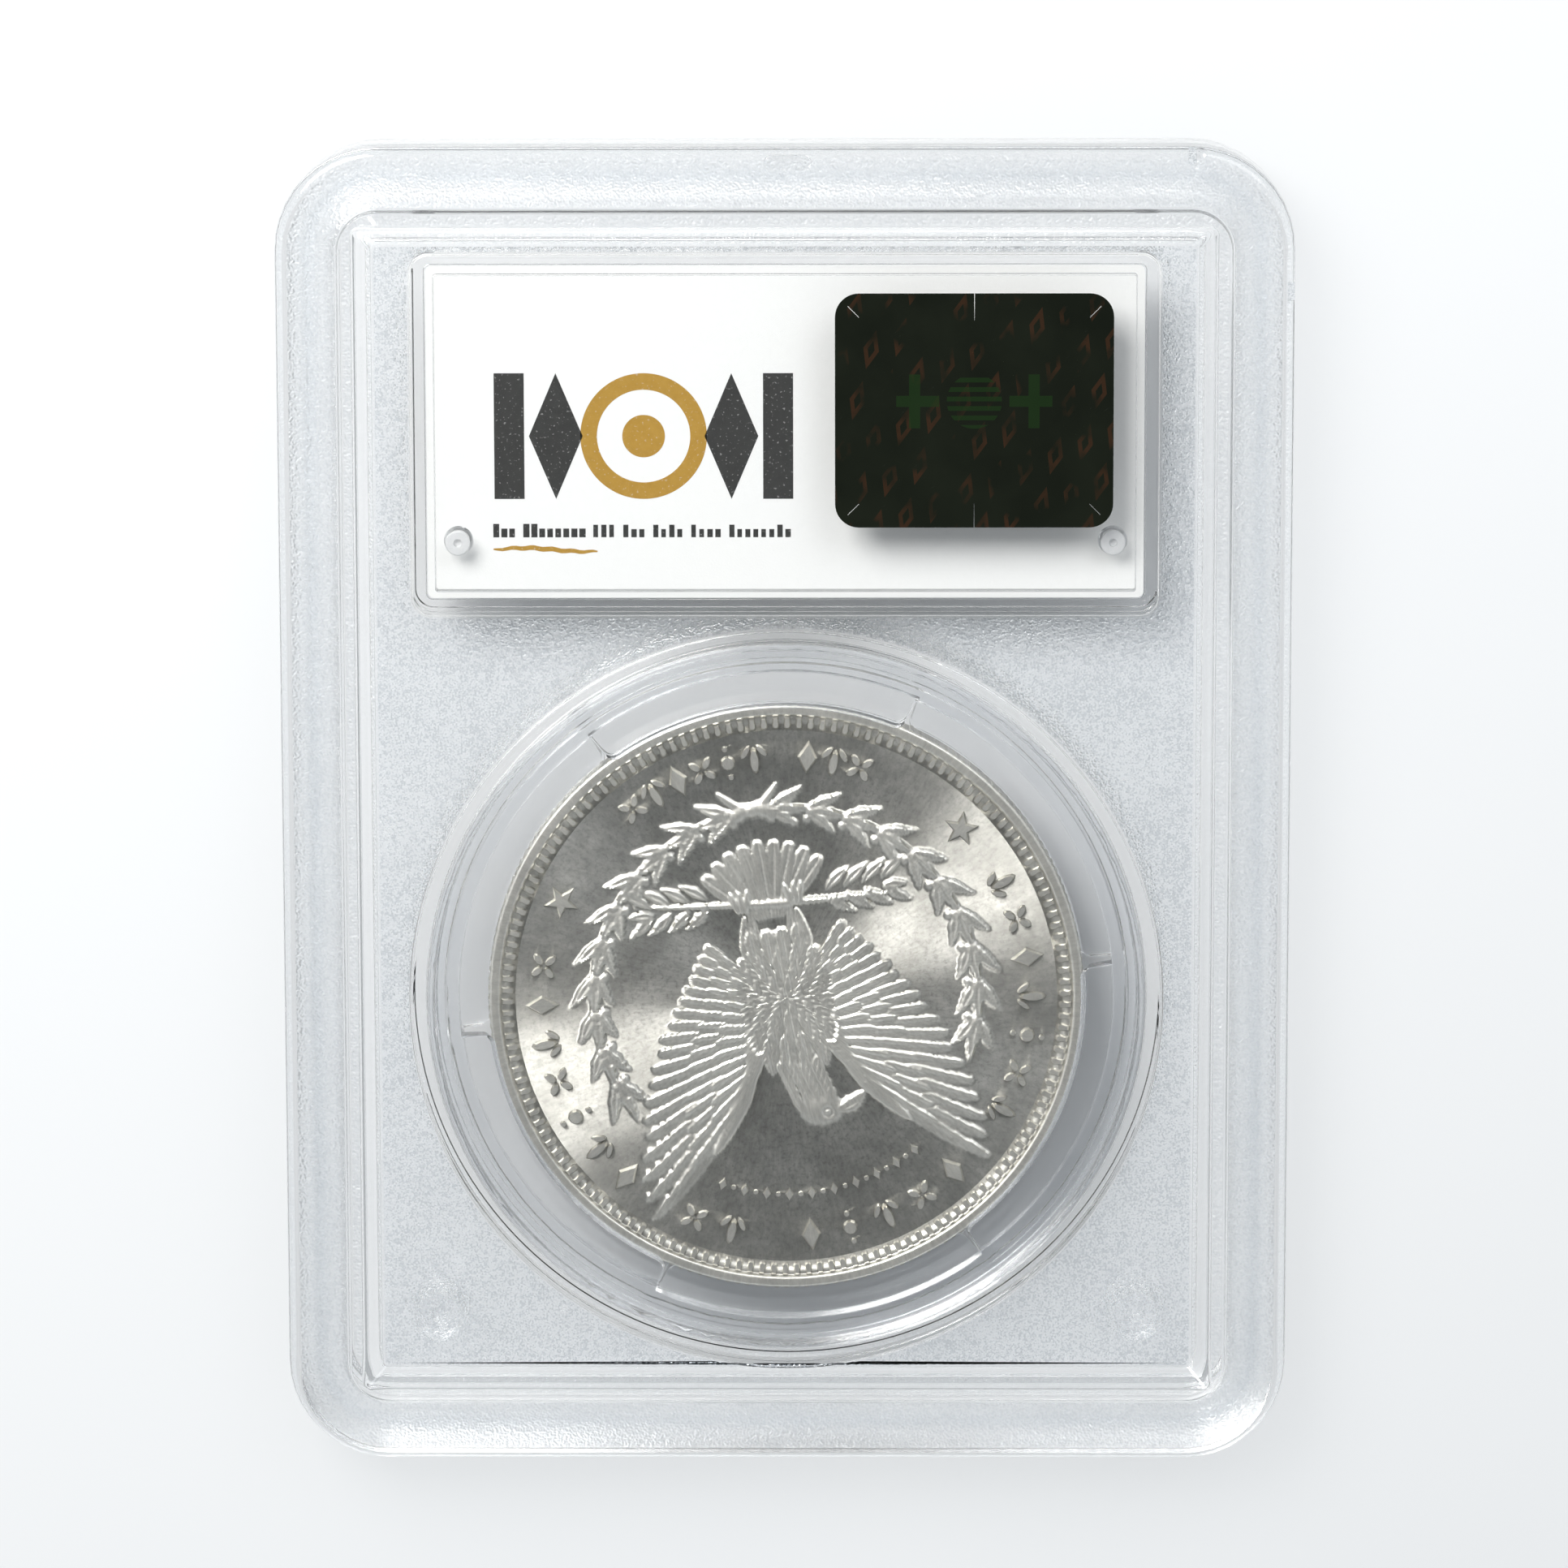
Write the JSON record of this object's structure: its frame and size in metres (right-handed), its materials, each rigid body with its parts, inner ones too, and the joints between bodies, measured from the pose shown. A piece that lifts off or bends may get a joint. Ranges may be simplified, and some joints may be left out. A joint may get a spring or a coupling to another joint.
{
  "type": "graded coin slab",
  "caption": "Sealed clear plastic holder with a printed label card, a security sticker and a large silver coin held in clear rings.",
  "frame": {"origin": "under the middle of the slab, on the surface that it rests on", "axes": "+Z out of the back face, +Y towards the label end, +X to the right when looking at the back face"},
  "size_m": [0.064, 0.0844, 0.008],
  "materials": {
    "clear_shell": "clear polystyrene, polished windows and fine-grained frosted frame",
    "weld": "clear remelted polystyrene",
    "coin_ring": "clear polystyrene with a fine turned grain",
    "silver": "struck silver with soft lustre",
    "label": "smooth white card, printed",
    "sticker": "dark patterned foil"
  },
  "bodies": {
    "slab": {"front_shell": "clear_shell", "back_shell": "clear_shell", "weld_seam": "weld", "front_coin_ring": "coin_ring", "back_coin_ring": "coin_ring", "label_card": "label", "security_sticker": "sticker"},
    "coin": {"coin": "silver"}
  },
  "joints": [
    {"name": "coin_turn", "type": "hinge", "parent": "slab", "child": "coin", "pos_m": [0, -0.0122, 0.00402], "axis": [0, 0, 1], "continuous": true}
  ]
}
